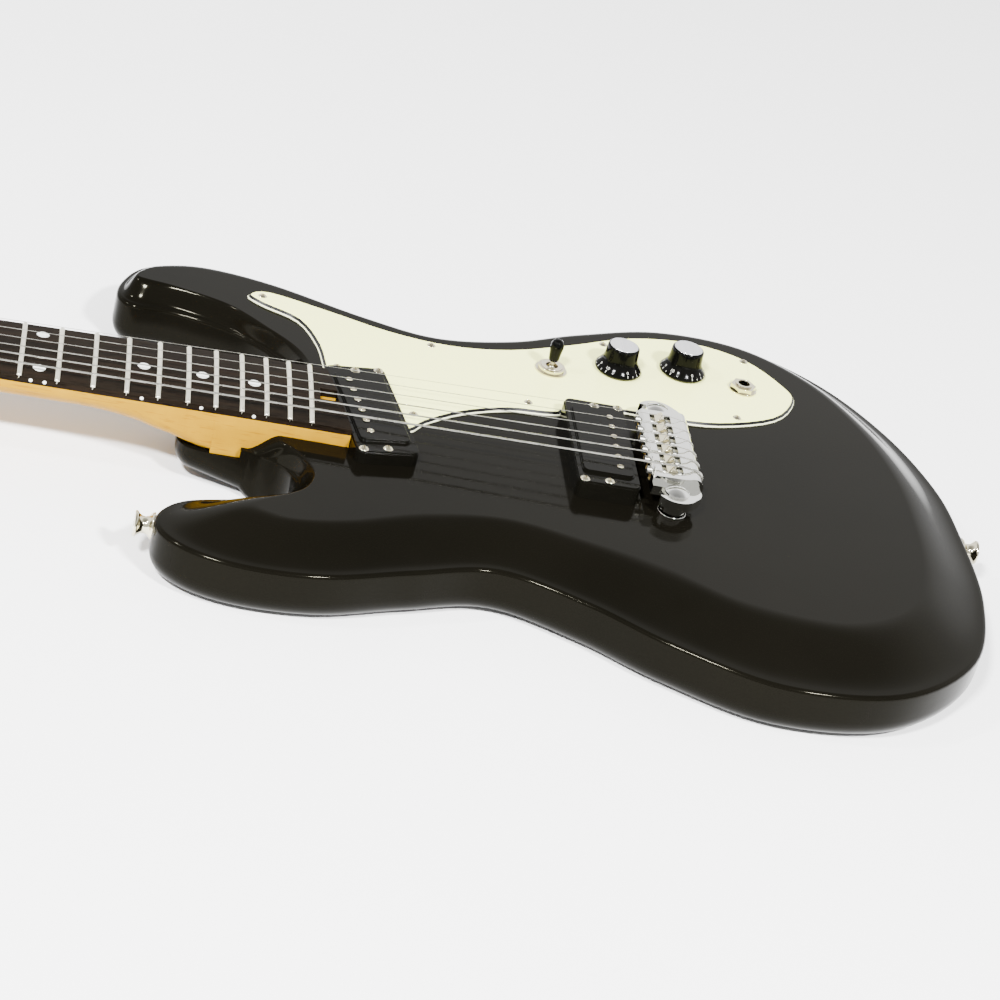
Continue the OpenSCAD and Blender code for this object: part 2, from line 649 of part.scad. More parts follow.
module pole_screws() {
    color("silver") {
        at_neck_pickup() poles(neck_housing_h, -1);
        at_bridge_pickup() poles(bridge_housing_h, 1);
    }
}
module pickup_bobbins() {
    color([0.1, 0.1, 0.1]) {
        at_neck_pickup() bobbin(neck_housing_h, -1);
        at_bridge_pickup() bobbin(bridge_housing_h, 1);
    }
}
module pickup_coils() {
    color([0.5, 0.25, 0.1]) {
        at_neck_pickup() coil(neck_housing_h, -1);
        at_bridge_pickup() coil(bridge_housing_h, 1);
    }
}
module pickup_magnets() {
    color([0.3, 0.3, 0.32]) {
        at_neck_pickup() magnet(neck_housing_h, -1);
        at_bridge_pickup() magnet(bridge_housing_h, 1);
    }
}
module pickup_screws() {
    color("silver") {
        at_neck_pickup() for (p = PICKUP_SCREWS)
            translate([p[0], p[1], body_t + neck_housing_h]) oval_screw(2.6, 1.4, 20);
        at_bridge_pickup() for (p = PICKUP_SCREWS)
            translate([p[0], p[1], body_t + bridge_housing_h]) oval_screw(2.6, 1.4, 20);
    }
}

/* Bridge */
// Section of the bridge along X, drawn as [x, z] over the body
module bridge_section() {
    polygon([[plate_front, bar_floor], [plate_front, 13.6], [-9.4, 15.4], [channel_front, 15.4],
        [channel_rear, 15.6], [nose_x, 16.2], [nose_x, bar_floor]]);
    translate([nose_x, nose_z - body_t]) circle(nose_r);
}
module bridge() {
    color([0.8, 0.8, 0.8]) difference() {
        union() {
            translate([0, bridge_w / 2, body_t]) rotate([90, 0, 0]) linear_extrude(bridge_w)
                bridge_section();
            for (j = [-1, 1]) translate([0, j * bridge_w / 2, bridge_floor]) linear_extrude(lug_t)
                union() {
                    translate([plate_front, j < 0 ? -8 : -2]) square([25, 10]);
                    translate([1.4, j * 6.7]) circle(11);
                    translate([4.8, j * 5]) circle(9.6);
                }
        }
        // Pocket of each saddle
        for (k = [1 : STRINGS]) translate([channel_front, saddle_y(k) - pocket_w / 2,
            body_t + channel_z]) cube([channel_rear - channel_front, pocket_w, 10]);
        // Notches for the studs, open towards the neck
        stud_places() translate([0, 0, bridge_floor - 1]) cylinder(h = 8, r = 4.1);
        stud_places() translate([-20, -4.1, bridge_floor - 1]) cube([20, 8.2, 8]);
        for (k = [1 : STRINGS]) {
            translate([-20, saddle_y(k), screw_z]) rotate([0, 90, 0])
                cylinder(h = 16, r = screw_r + slip, $fn = 24);
            // Passage of a string, with the seat of its ball end
            translate([-20, saddle_y(k), passage_z]) rotate([0, 90, 0])
                cylinder(h = 60, r = 0.85, $fn = 24);
            translate([-20, saddle_y(k), passage_z]) rotate([0, 90, 0])
                cylinder(h = 20 + seat_x, r = 2.05, $fn = 32);
        }
    }
}
module saddle(k) {
    crest = string_h - GAUGES[k - 1] / 2 - 0.1;
    color([0.78, 0.78, 0.78]) translate([0, saddle_y(k), 0]) difference() {
        translate([0, saddle_w / 2, body_t]) rotate([90, 0, 0]) linear_extrude(saddle_w)
            polygon([[-3.2, channel_z + 0.1], [2.6, channel_z + 0.1], [2.6, 15.3], [0.3, crest],
                [-0.3, crest], [-3.2, 15.3]]);
        translate([-9, 0, screw_z]) rotate([0, 90, 0])
            cylinder(h = 20, r = screw_r + run, $fn = 24);
    }
}
module saddle_screws() {
    color("silver") for (k = [1 : STRINGS]) translate([plate_front, saddle_y(k), screw_z])
        rotate([0, 90, 0]) difference() {
            union() {
                translate([0, 0, -2.4]) cylinder(h = 2.35, r = 2);
                translate([0, 0, -1]) cylinder(h = channel_rear - plate_front + 0.8, r = screw_r);
            }
            translate([-3, -0.35, -3]) cube([6, 0.7, 1.5]);
        }
}
module bridge_studs() {
    color([0.85, 0.85, 0.85]) stud_places() difference() {
        union() {
            translate([0, 0, body_t - 16]) cylinder(h = 20, r = 3.1);
            translate([0, 0, body_t + 1.8]) cylinder(h = 4.5, r = 6.2);
            translate([0, 0, body_t + 6]) cylinder(h = 6, r = 3.9);
            translate([0, 0, bridge_floor + lug_t + slip]) cylinder(h = 1, r = 6.3);
            translate([0, 0, bridge_floor + lug_t + slip + 1]) intersection() {
                translate([0, 0, -8.3]) sphere(10.4, $fn = 64);
                cylinder(h = 4, r = 6.3);
            }
        }
        translate([-8, -0.8, body_t + 12.6]) cube([16, 1.6, 4]);
    }
}
module stud_bushings() {
    color([0.8, 0.8, 0.8]) stud_places() difference() {
        union() {
            translate([0, 0, body_t - 18]) cylinder(h = 18, r = 5.6);
            translate([0, 0, body_t]) cylinder(h = 1, r = 7.4);
        }
        translate([0, 0, body_t - 19]) cylinder(h = 30, r = 3.1 + slip);
    }
}

/* Strings */
string_back = 3.4;
wind_z = head_z + 5.6;
wind_r = 2.7;
wind_gap = 0.15;
nut_back = -scale_len - nut_t - 0.7;
// A point of the neck's own frame, placed in the row frame
function to_row(p) = let (w = neck_world(p[0], p[2])) [w[0], p[1], w[1]];
function nut_point(k, x) = to_row([x, nut_y(k), fret_top + 0.5 + GAUGES[k - 1] / 2]);
function saddle_top(k) =
    saddle_z + (saddle_z - nut_point(k, -scale_len)[2]) / scale_len * string_back;
// Turns of a string round its post, from where it first touches
function winding(k) = let (
    c = post_at(k),
    r = GAUGES[k - 1] / 2,
    turn_r = wind_r + r + wind_gap,
    d = [nut_back - c[0], nut_y(k) - c[1]],
    s = -post_side(k),
    start = atan2(d[1], d[0]) + s * acos(turn_r / norm(d)))
    [for (i = [0 : 34]) let (a = start + s * 24 * i) to_row([c[0] + turn_r * cos(a),
        c[1] + turn_r * sin(a), wind_z - (2 * r + 0.1) * 24 * i / 360])];
// Middle of a string: from its ball end through the bridge, round the nose, over the saddle and
// the nut, and round its post
function string_path(k) = let (
    y = saddle_y(k),
    turn_r = nose_r + GAUGES[k - 1] / 2 + 0.05,
    crest = saddle_top(k),
    gap = [string_back - nose_x, crest - nose_z],
    first = -asin((nose_z - passage_z) / turn_r),
    last = atan2(gap[1], gap[0]) - acos(turn_r / norm(gap)))
    concat([[seat_x + 0.1, y, passage_z]],
        [for (i = [0 : 12]) let (a = mix(first, last, i / 12))
            [nose_x + turn_r * cos(a), y, nose_z + turn_r * sin(a)]],
        [[string_back, y, crest], nut_point(k, -scale_len), nut_point(k, nut_back)],
        winding(k));

// A round wire along a path
module wire(path, r) {
    n = len(path);
    dirs = [for (i = [0 : n - 1]) unit(path[min(i + 1, n - 1)] - path[max(i - 1, 0)])];
    across = [for (i = 0, s = [0, 1, 0]; i < n;
        i = i + 1, s = i < n ? unit(s - (s * dirs[i]) * dirs[i]) : s) s];
    points = [for (i = [0 : n - 1]) let (v = cross(dirs[i], across[i])) each
        [for (j = [0 : 7]) path[i] + r * (cos(45 * j) * across[i] + sin(45 * j) * v)]];
    faces = concat([[for (j = [0 : 7]) j]], [[for (j = [0 : 7]) n * 8 - 1 - j]],
        [for (i = [0 : n - 2], j = [0 : 7]) let (a = i * 8 + j, b = i * 8 + (j + 1) % 8) each
            [[a, a + 8, b], [b, a + 8, b + 8]]]);
    polyhedron(points, faces, convexity = 6);
}
module strings() {
    color([0.75, 0.75, 0.72]) for (k = [1 : STRINGS]) wire(string_path(k), GAUGES[k - 1] / 2);
}
module string_ball_ends() {
    color([0.8, 0.65, 0.3]) for (k = [1 : STRINGS])
        translate([seat_x - 1.7, saddle_y(k) + 1.2, passage_z]) rotate([90, 0, 0]) difference() {
            cylinder(h = 2.4, r = 1.6, $fn = 24);
            translate([0, 0, -1]) cylinder(h = 5, r = 0.6, $fn = 24);
        }
}

/* Controls */
module toggle_switch() {
    color([0.6, 0.6, 0.6]) translate([SWITCH[0], SWITCH[1], 0]) difference() {
        union() {
            translate([0, 0, guard_z - 8]) cylinder(h = 11.2, r = 6);
            translate([-8, -11, body_t - 26]) cube([16, 22, 25.9]);
        }
        translate([0, 0, guard_z - 4]) cylinder(h = 30, r = 3.4);
        translate([-6.5, -9.5, body_t - 24]) cube([13, 19, 22]);
        translate([0, 0, guard_z - 9]) cylinder(h = 6, r = 3.4);
    }
}
toggle_z = guard_z + 1;
module toggle_lever() {
    color("silver") translate([SWITCH[0], SWITCH[1], toggle_z]) union() {
        translate([0, 0, -12]) cylinder(h = 20, r = 1.3, $fn = 24);
        rotate([90, 0, 0]) cylinder(h = 4.6, r = 2.2, center = true);
    }
}
module toggle_tip() {
    color([0.02, 0.02, 0.02]) translate([SWITCH[0], SWITCH[1], toggle_z + 5]) difference() {
        rotate_extrude($fn = 32) polygon([[0, 0], [2.3, 0], [2.8, 1], [3.2, 4.4], [3.7, 8.4],
            [3.6, 10.4], [2.7, 12.2], [1.5, 13], [0, 13.2]]);
        translate([0, 0, -1]) cylinder(h = 5, r = 1.3 + 0.01, $fn = 24);
    }
}

knob_gap = 0.8;
cap_h = 1;
module knob() {
    top_r = 8.9;
    difference() {
        translate([0, 0, guard_z + knob_gap]) rotate_extrude($fn = 64) polygon([
            [0, 0], [knob_d / 2 - 0.6, 0], [knob_d / 2, 0.6], [knob_d / 2, 1.6],
            [knob_d / 2 - 2, 4.2], [top_r + 0.9, 6.2], [top_r + 0.5, 8],
            [top_r, knob_h - 0.8], [top_r - 0.7, knob_h], [0, knob_h]]);
        translate([0, 0, guard_z + knob_gap + knob_h - cap_h]) cylinder(h = 4, r = top_r - 1);
        translate([0, 0, guard_z]) cylinder(h = knob_gap + 4.4, r = 8);
        translate([0, 0, guard_z]) cylinder(h = knob_gap + knob_h - 3, r = 3 + 0.01);
    }
}
module knob_cap() {
    translate([0, 0, guard_z + knob_gap + knob_h - cap_h]) cylinder(h = cap_h + 0.2, r = 7.88);
}
module pot_shaft() {
    translate([0, 0, body_t - 6]) cylinder(h = guard_t + 6 + knob_gap + knob_h - 3.2, r = 3);
    translate([0, 0, body_t - 8]) cylinder(h = 2.1, r = 5);
}
module volume_knob() { color([0.03, 0.03, 0.03]) translate(VOLUME) knob(); }
module tone_knob() { color([0.03, 0.03, 0.03]) translate(TONE) knob(); }
module volume_knob_cap() { color([0.8, 0.8, 0.8]) translate(VOLUME) knob_cap(); }
module tone_knob_cap() { color([0.8, 0.8, 0.8]) translate(TONE) knob_cap(); }
module volume_pot_shaft() { color("silver") translate(VOLUME) pot_shaft(); }
module tone_pot_shaft() { color("silver") translate(TONE) pot_shaft(); }

module pots() {
    color([0.6, 0.6, 0.58]) for (p = [VOLUME, TONE]) translate([p[0], p[1], 0]) difference() {
        union() {
            translate([0, 0, body_t - 12]) cylinder(h = 11.9, r = 12);
            translate([0, 0, body_t - 1]) cylinder(h = 1 + guard_t + 4, r = 4.7);
        }
        translate([0, 0, body_t - 11]) cylinder(h = 8, r = 11);
        translate([0, 0, body_t - 4]) cylinder(h = 20, r = 3 + run);
    }
}
module ring_nut(r, bore, h) {
    difference() {
        cylinder(h = h, r = r, $fn = 6);
        translate([0, 0, -1]) cylinder(h = h + 2, r = bore);
    }
}
module washer(r, bore, h) {
    difference() {
        cylinder(h = h, r = r);
        translate([0, 0, -1]) cylinder(h = h + 2, r = bore);
    }
}
module control_nuts() {
    color([0.8, 0.8, 0.78]) translate([0, 0, guard_z]) {
        for (p = [VOLUME, TONE]) translate([p[0], p[1], 0]) {
            washer(6.6, 4.7 + slip, 0.5);
            translate([0, 0, 0.5]) ring_nut(6.6, 4.7 + slip, 2.4);
        }
        translate([SWITCH[0], SWITCH[1], 0]) {
            washer(8.8, 6 + slip, 0.8);
            translate([0, 0, 0.8]) washer(7.4, 6 + slip, 2);
        }
        translate([JACK[0], JACK[1], 0]) {
            washer(7.8, 4.7 + slip, 0.8);
            translate([0, 0, 0.8]) ring_nut(7.2, 4.7 + slip, 2.6);
        }
    }
}
module output_jack() {
    color([0.75, 0.75, 0.72]) translate([JACK[0], JACK[1], 0]) union() {
        difference() {
            union() {
                translate([0, 0, guard_z - 8]) cylinder(h = 12.4, r = 4.7);
                translate([-8, -8, body_t - 1.1]) cube([16, 16, 1]);
            }
            translate([0, 0, guard_z - 10]) cylinder(h = 20, r = jack_r);
        }
        translate([6.4, -3, body_t - 22]) cube([1, 6, 21]);
        translate([-1, -3, body_t - 22.9]) cube([8.4, 6, 1]);
    }
}

/* Tuners */
module tuner_housings() {
    color([0.75, 0.75, 0.75]) in_neck() for (k = [1 : TUNERS])
        translate([post_at(k)[0], post_at(k)[1], head_z - head_t]) {
        s = post_side(k);
        difference() {
            translate([-8, -10, -housing_depth]) cube([20, 20, housing_depth]);
            translate([-6.6, -8.6, -housing_depth + 1.4])
                cube([17.2, 17.2, housing_depth - 2.8]);
            translate([0, 0, -2]) cylinder(h = 4, r = 3.1 + run);
            translate([worm_x, 0, -6]) rotate([-90 * s, 0, 0])
                cylinder(h = 14, r = 2 + run, $fn = 24);
        }
        difference() {
            union() {
                translate([0, 0, slip]) cylinder(h = head_t - slip, r = 4.9);
                translate([0, 0, head_t]) cylinder(h = 1, r = 6.6);
            }
            translate([0, 0, -1]) cylinder(h = 20, r = 3.1 + run);
        }
    }
}
module tuner_post(k) {
    color([0.8, 0.8, 0.8]) in_neck()
        translate([post_at(k)[0], post_at(k)[1], head_z - head_t]) difference() {
        union() {
            translate([0, 0, -8]) cylinder(h = 8 + head_t + 1.6, r = 3.1);
            translate([0, 0, -8]) cylinder(h = 4, r = 5.3);
            translate([0, 0, head_t + 1.5]) cylinder(h = 6.2, r = wind_r);
            translate([0, 0, head_t + 7.4]) cylinder(h = 6, r = 3.1);
        }
        translate([-5, 0, head_t + 9.4]) rotate([0, 90, 0]) cylinder(h = 10, r = 0.8, $fn = 24);
        translate([-0.4, -4, head_t + 12.4]) cube([0.8, 8, 2]);
    }
}
module tuner_key(k) {
    s = post_side(k);
    color([0.85, 0.85, 0.85]) in_neck()
        translate([post_at(k)[0] + worm_x, post_at(k)[1], head_z - head_t - 6])
        rotate([-90 * s, 0, 0]) union() {
        translate([0, 0, -6.5]) cylinder(h = 27, r = 2);
        translate([0, 0, 12.6]) cylinder(h = 3, r = 3.4);
        translate([0, 0, 18]) linear_extrude(14) union() {
            square([11, 5], center = true);
            for (i = [-1, 1]) translate([i * 5.5, 0]) circle(2.5);
        }
    }
}

body();
neck();
fretboard();
frets();
nut();
position_dots();
truss_rod();
truss_rod_nut();
neck_plate();
neck_screws();
strap_buttons();
strap_button_screws();
pickguard();
pickguard_screws();
neck_pickup_housing();
neck_pickup_cover();
bridge_pickup_housing();
bridge_pickup_cover();
pole_screws();
pickup_screws();
pickup_bobbins();
pickup_coils();
pickup_magnets();
bridge();
saddle_screws();
bridge_studs();
stud_bushings();
strings();
string_ball_ends();
toggle_switch();
toggle_lever();
toggle_tip();
volume_knob();
volume_knob_cap();
volume_pot_shaft();
tone_knob();
tone_knob_cap();
tone_pot_shaft();
pots();
control_nuts();
output_jack();
tuner_housings();
for (k = [1 : STRINGS]) saddle(k);
for (k = [1 : TUNERS]) tuner_key(k);
for (k = [1 : TUNERS]) tuner_post(k);
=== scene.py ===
"""Looks of the solid-body electric guitar: metres, in the CAD model's own frame."""
import json
import math

import bmesh
import bpy
from mathutils import Matrix, Vector


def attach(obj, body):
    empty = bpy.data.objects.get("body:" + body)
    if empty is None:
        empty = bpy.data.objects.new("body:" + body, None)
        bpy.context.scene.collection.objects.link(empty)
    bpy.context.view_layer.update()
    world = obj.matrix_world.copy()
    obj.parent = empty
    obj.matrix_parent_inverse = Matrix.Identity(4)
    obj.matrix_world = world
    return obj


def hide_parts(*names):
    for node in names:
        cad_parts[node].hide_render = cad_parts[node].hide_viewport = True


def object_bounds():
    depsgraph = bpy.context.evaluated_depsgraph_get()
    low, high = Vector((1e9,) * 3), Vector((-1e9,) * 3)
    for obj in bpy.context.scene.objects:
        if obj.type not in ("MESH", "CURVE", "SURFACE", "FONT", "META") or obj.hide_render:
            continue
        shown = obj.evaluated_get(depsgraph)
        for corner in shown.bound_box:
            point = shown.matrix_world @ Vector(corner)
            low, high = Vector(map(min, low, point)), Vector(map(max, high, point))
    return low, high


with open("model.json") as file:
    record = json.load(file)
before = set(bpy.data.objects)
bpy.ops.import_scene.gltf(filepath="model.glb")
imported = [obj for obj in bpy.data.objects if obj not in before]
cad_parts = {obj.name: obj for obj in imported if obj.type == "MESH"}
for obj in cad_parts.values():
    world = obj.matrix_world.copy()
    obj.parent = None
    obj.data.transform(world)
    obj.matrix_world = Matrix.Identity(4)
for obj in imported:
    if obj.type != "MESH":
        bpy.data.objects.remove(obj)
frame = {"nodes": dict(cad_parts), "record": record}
CAD_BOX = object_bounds()
NODES = frame["nodes"]
RECORD = frame["record"]
MM = 0.001

# ---------------------------------------------------------------- places, in millimetres
BODY_T = 38.0
RIM_Z = 27.5
GUARD_T = 2.3
GUARD_Z = BODY_T + GUARD_T
NECK_RISE = 6.3
NECK_ANGLE = math.radians(0.75)
PIVOT_X = -215.0
SCALE_LEN = 628.0
HEEL_DEPTH = 22.8
BOARD_END = -166.3
NECK_SLANT = math.radians(10.7)
NUT_WIDTH = 42.0
BRIDGE_END_WIDTH = 54.1
VOLUME = (-12.0, 97.0)
TONE = (26.0, 107.0)

# The body's plan, as pairs of points: its rim, and the edge of its flat top
OUTLINE = [
    ((171.5, 0), (138, 0)), ((170, -63), (134, -56)), ((152, -121), (118, -98)),
    ((106, -162), (80, -121)), ((45, -170), (30, -116)), ((-8, -149), (-10, -95)),
    ((-48, -124), (-48, -82)), ((-92, -107), (-88, -73)), ((-135, -120), (-130, -81)),
    ((-176, -135), (-166, -97)), ((-212, -138), (-193, -104)), ((-240, -132), (-206, -102)),
    ((-257, -119), (-212, -99)), ((-260, -103), (-212, -95)), ((-249, -88), (-208, -91)),
    ((-226, -79), (-202, -87)), ((-206, -73), (-195, -82)), ((-195, -64), (-187, -73)),
    ((-192, -53), (-183.5, -60)), ((-197, -42), (-187, -49)), ((-208, -35), (-193, -40)),
    ((-219, -28), (-200, -31)), ((-220, 0), (-202, 0)), ((-219, 28), (-200, 31)),
    ((-208, 35), (-193, 38)), ((-196, 43), (-184, 45)), ((-195, 57), (-186, 57)),
    ((-202, 71), (-193, 69)), ((-215, 85), (-205.5, 82)), ((-235, 96), (-227, 101)),
    ((-258, 102), (-255, 111)), ((-277, 102), (-270, 114)), ((-285.5, 111), (-276, 116)),
    ((-283.5, 129), (-274, 122)), ((-271, 149), (-264, 130)), ((-241, 160.5), (-240, 136)),
    ((-202, 153), (-203, 130)), ((-158, 134), (-151, 110)), ((-113, 123), (-112, 101)),
    ((-68, 134), (-69, 112)), ((-24, 158), (-30, 133)), ((25, 177), (18, 153)),
    ((75, 174), (66, 151)), ((118, 146), (102, 124)), ((149, 100), (124, 83)),
    ((167, 48), (135, 41))]


# ---------------------------------------------------------------- shader helpers
COAT_ROUGH = 0.03


class Shader:
    """A small wrapper that builds a Principled material from procedural parts."""

    def __init__(self, name, metallic=0.0, coat=0.0, specular=0.5, tint=(1, 1, 1)):
        self.mat = bpy.data.materials.new(name)
        self.mat.use_nodes = True
        self.tree = self.mat.node_tree
        self.bsdf = self.tree.nodes["Principled BSDF"]
        self.bsdf.inputs["Metallic"].default_value = metallic
        self.bsdf.inputs["Coat Weight"].default_value = coat
        self.bsdf.inputs["Coat Roughness"].default_value = COAT_ROUGH
        self.bsdf.inputs["Specular IOR Level"].default_value = specular
        self.bsdf.inputs["Specular Tint"].default_value = (*tint, 1)
        self.coords = self.tree.nodes.new("ShaderNodeTexCoord").outputs["Object"]

    def link(self, a, b):
        self.tree.links.new(a, b)

    def mapped(self, stretch):
        """Object coordinates scaled along each axis."""
        node = self.tree.nodes.new("ShaderNodeMapping")
        node.inputs["Scale"].default_value = stretch
        self.link(self.coords, node.inputs["Vector"])
        return node.outputs["Vector"]

    def noise(self, scale, stretch=(1, 1, 1), detail=4.0, rough=0.55, distortion=0.0):
        node = self.tree.nodes.new("ShaderNodeTexNoise")
        node.inputs["Scale"].default_value = scale
        node.inputs["Detail"].default_value = detail
        node.inputs["Roughness"].default_value = rough
        node.inputs["Distortion"].default_value = distortion
        self.link(self.mapped(stretch), node.inputs["Vector"])
        return node.outputs["Fac"]

    def ramp(self, value, stops):
        """Colours at stops along a value."""
        node = self.tree.nodes.new("ShaderNodeValToRGB")
        ramp = node.color_ramp
        while len(ramp.elements) < len(stops):
            ramp.elements.new(0.5)
        for element, (at, color) in zip(ramp.elements, stops):
            element.position = at
            element.color = (*color, 1)
        self.link(value, node.inputs["Fac"])
        return node.outputs["Color"]

    def range(self, value, low, high, start=0.3, end=0.7):
        """A value's stretch from start to end, mapped to low and high."""
        node = self.tree.nodes.new("ShaderNodeMapRange")
        node.inputs["From Min"].default_value = start
        node.inputs["From Max"].default_value = end
        node.inputs["To Min"].default_value = low
        node.inputs["To Max"].default_value = high
        self.link(value, node.inputs["Value"])
        return node.outputs["Result"]

    def mix(self, factor, a, b, mode="MIX"):
        node = self.tree.nodes.new("ShaderNodeMix")
        node.data_type = "RGBA"
        node.blend_type = mode
        for socket, value in ((node.inputs[0], factor), (node.inputs[6], a), (node.inputs[7], b)):
            if hasattr(value, "is_output"):
                self.link(value, socket)
            elif isinstance(value, (int, float)):
                socket.default_value = value
            else:
                socket.default_value = (*value, 1)
        return node.outputs[2]

    def color(self, value):
        self.link(value, self.bsdf.inputs["Base Color"])

    def roughness(self, value):
        self.link(value, self.bsdf.inputs["Roughness"])

    def bump(self, value, strength, distance):
        """Adds relief, over any that is there already."""
        node = self.tree.nodes.new("ShaderNodeBump")
        node.inputs["Strength"].default_value = strength
        node.inputs["Distance"].default_value = distance
        self.link(value, node.inputs["Height"])
        previous = self.bsdf.inputs["Normal"].links
        if previous:
            self.link(previous[0].from_socket, node.inputs["Normal"])
        self.link(node.outputs["Normal"], self.bsdf.inputs["Normal"])


def black_lacquer():
    s = Shader("black_lacquer", specular=0.042, tint=(1, 0.95, 0.74))
    s.color(s.ramp(s.noise(9), [(0.3, (0.0020, 0.0018, 0.0012)), (0.7, (0.0028, 0.0025, 0.0017))]))
    s.roughness(s.range(s.noise(30), 0.07, 0.12))
    s.bump(s.noise(260, detail=2), 0.015, 0.0001)
    return s.mat


def maple():
    s = Shader("maple", specular=0.05, tint=(1, 0.85, 0.4))
    grain = s.noise(60, stretch=(0.06, 1, 1), detail=6, distortion=0.6)
    base = s.ramp(grain, [(0.3, (0.29, 0.145, 0.0010)), (0.55, (0.37, 0.195, 0.0015)),
                          (0.75, (0.43, 0.24, 0.0025))])
    flecks = s.ramp(s.noise(900, stretch=(0.08, 1, 1), detail=3),
                    [(0.34, (0.42, 0.22, 0.06)), (0.42, (1, 1, 1))])
    figure = s.ramp(s.noise(120, stretch=(1, 0.2, 0.6)),
                    [(0.3, (0.90, 0.88, 0.84)), (0.7, (1, 1, 1))])
    s.color(s.mix(1.0, s.mix(0.35, base, flecks, "MULTIPLY"), figure, "MULTIPLY"))
    s.roughness(s.range(grain, 0.28, 0.40))
    s.bump(grain, 0.05, 0.0002)
    return s.mat


def rosewood():
    s = Shader("rosewood", specular=0.03, tint=(1, 0.95, 0.8))
    streaks = s.noise(120, stretch=(0.05, 1, 1), detail=8, rough=0.6, distortion=0.4)
    base = s.ramp(streaks, [(0.30, (0.0025, 0.0018, 0.0012)), (0.5, (0.0060, 0.0042, 0.0027)),
                            (0.72, (0.0115, 0.0070, 0.0044))])
    pores = s.noise(1500, stretch=(0.06, 1, 1), detail=2)
    s.color(s.mix(1.0, base, s.ramp(pores, [(0.36, (0.25, 0.22, 0.2)), (0.44, (1, 1, 1))]),
                  "MULTIPLY"))
    s.roughness(s.range(streaks, 0.40, 0.55))
    s.bump(pores, 0.25, 0.0002)
    return s.mat


def metal(name, color, rough, grain=400, stretch=(1, 1, 1), bump=0.03, dark=0.85):
    s = Shader(name, metallic=1.0)
    marks = s.noise(grain, stretch=stretch, detail=4)
    s.color(s.ramp(marks, [(0.3, tuple(dark * c for c in color)), (0.7, color)]))
    s.roughness(s.range(s.noise(grain / 5, stretch=stretch), rough[0], rough[1]))
    s.bump(marks, bump, 0.0001)
    return s.mat


def plastic(name, low, high, rough, grain=60, specular=0.5, bump=0.02):
    s = Shader(name, specular=specular)
    marks = s.noise(grain, detail=5)
    s.color(s.ramp(marks, [(0.3, low), (0.7, high)]))
    s.roughness(s.range(s.noise(grain * 4), rough[0], rough[1]))
    s.bump(s.noise(grain * 12, detail=2), bump, 0.0001)
    return s.mat


def guard_plies():
    """Mint top ply, a thin black ply and a white one below, told apart by height."""
    s = Shader("guard_plies", specular=0.25)
    split = s.tree.nodes.new("ShaderNodeSeparateXYZ")
    s.link(s.coords, split.inputs["Vector"])
    height = s.range(split.outputs["Z"], 0.0, 1.0, BODY_T * MM, GUARD_Z * MM)
    plies = s.ramp(height, [(0.0, (0.80, 0.81, 0.55)), (0.36, (0.002, 0.002, 0.002)),
                            (0.88, (0.92, 0.95, 0.36))])
    plies.node.color_ramp.interpolation = "CONSTANT"
    tone = s.ramp(s.noise(14), [(0.3, (0.965, 0.975, 0.95)), (0.7, (1, 1, 1))])
    s.color(s.mix(1.0, plies, tone, "MULTIPLY"))
    s.roughness(s.range(s.noise(50), 0.22, 0.32))
    s.bump(s.noise(500, detail=2), 0.02, 0.0001)
    return s.mat


def pearl():
    s = Shader("pearl", coat=0.8)
    s.color(s.ramp(s.noise(300, distortion=2.5), [(0.3, (0.55, 0.58, 0.56)),
                                                  (0.5, (0.78, 0.80, 0.74)),
                                                  (0.7, (0.92, 0.92, 0.88))]))
    s.roughness(s.range(s.noise(500), 0.15, 0.30))
    return s.mat


def wound_steel():
    """Steel strings; fine turns run round the thicker ones."""
    s = Shader("wound_steel", metallic=1.0)
    wave = s.tree.nodes.new("ShaderNodeTexWave")
    wave.bands_direction = "X"
    wave.inputs["Scale"].default_value = 700
    s.link(s.coords, wave.inputs["Vector"])
    s.color(s.ramp(s.noise(200), [(0.3, (0.50, 0.49, 0.44)), (0.7, (0.66, 0.65, 0.59))]))
    s.roughness(s.range(s.noise(90), 0.22, 0.34))
    s.bump(wave.outputs["Fac"], 0.25, 0.0001)
    return s.mat


MATERIALS = {
    "body_gloss": black_lacquer(),
    "maple": maple(),
    "rosewood": rosewood(),
    "fret_wire": metal("fret_wire", (0.96, 0.93, 0.78), (0.30, 0.42), 300, (1, 0.1, 1)),
    "bone": plastic("bone", (0.74, 0.70, 0.56), (0.86, 0.83, 0.72), (0.35, 0.5), 80),
    "pearl_dot": pearl(),
    "steel": metal("steel", (0.34, 0.34, 0.31), (0.25, 0.40)),
    "chrome": metal("chrome", (0.78, 0.78, 0.74), (0.03, 0.07), 120, bump=0.01, dark=0.95),
    "nickel": metal("nickel", (0.70, 0.65, 0.48), (0.07, 0.14), 200, bump=0.015, dark=0.9),
    "guard": guard_plies(),
    "pickup_black": plastic("pickup_black", (0.0020, 0.0019, 0.0014), (0.0030, 0.0028, 0.0020),
                            (0.08, 0.14), 40, specular=0.05),
    "coil_wire": metal("coil_wire", (0.30, 0.12, 0.05), (0.35, 0.5), 900, (0.1, 0.1, 1)),
    "magnet": metal("magnet", (0.20, 0.20, 0.21), (0.5, 0.7), 300),
    "saddle": metal("saddle", (0.74, 0.68, 0.48), (0.06, 0.12), 150, bump=0.01, dark=0.92),
    "string_wire": wound_steel(),
    "brass": metal("brass", (0.72, 0.52, 0.20), (0.25, 0.40), 200),
    "switch_metal": metal("switch_metal", (0.80, 0.74, 0.56), (0.14, 0.24), 160),
    "knob_black": plastic("knob_black", (0.0010, 0.0010, 0.0009), (0.0018, 0.0018, 0.0015),
                          (0.07, 0.12), 50, specular=0.06),
    "knob_silver": metal("knob_silver", (0.88, 0.88, 0.90), (0.22, 0.32), 500, (1, 0.05, 1),
                         bump=0.04),
}
SLOT_OF = {row["node"]: row["material_slot"] for row in RECORD["subparts"]}
BODY_OF = {n: b for b, members in RECORD["behaviour"]["bodies"].items() for n in members}


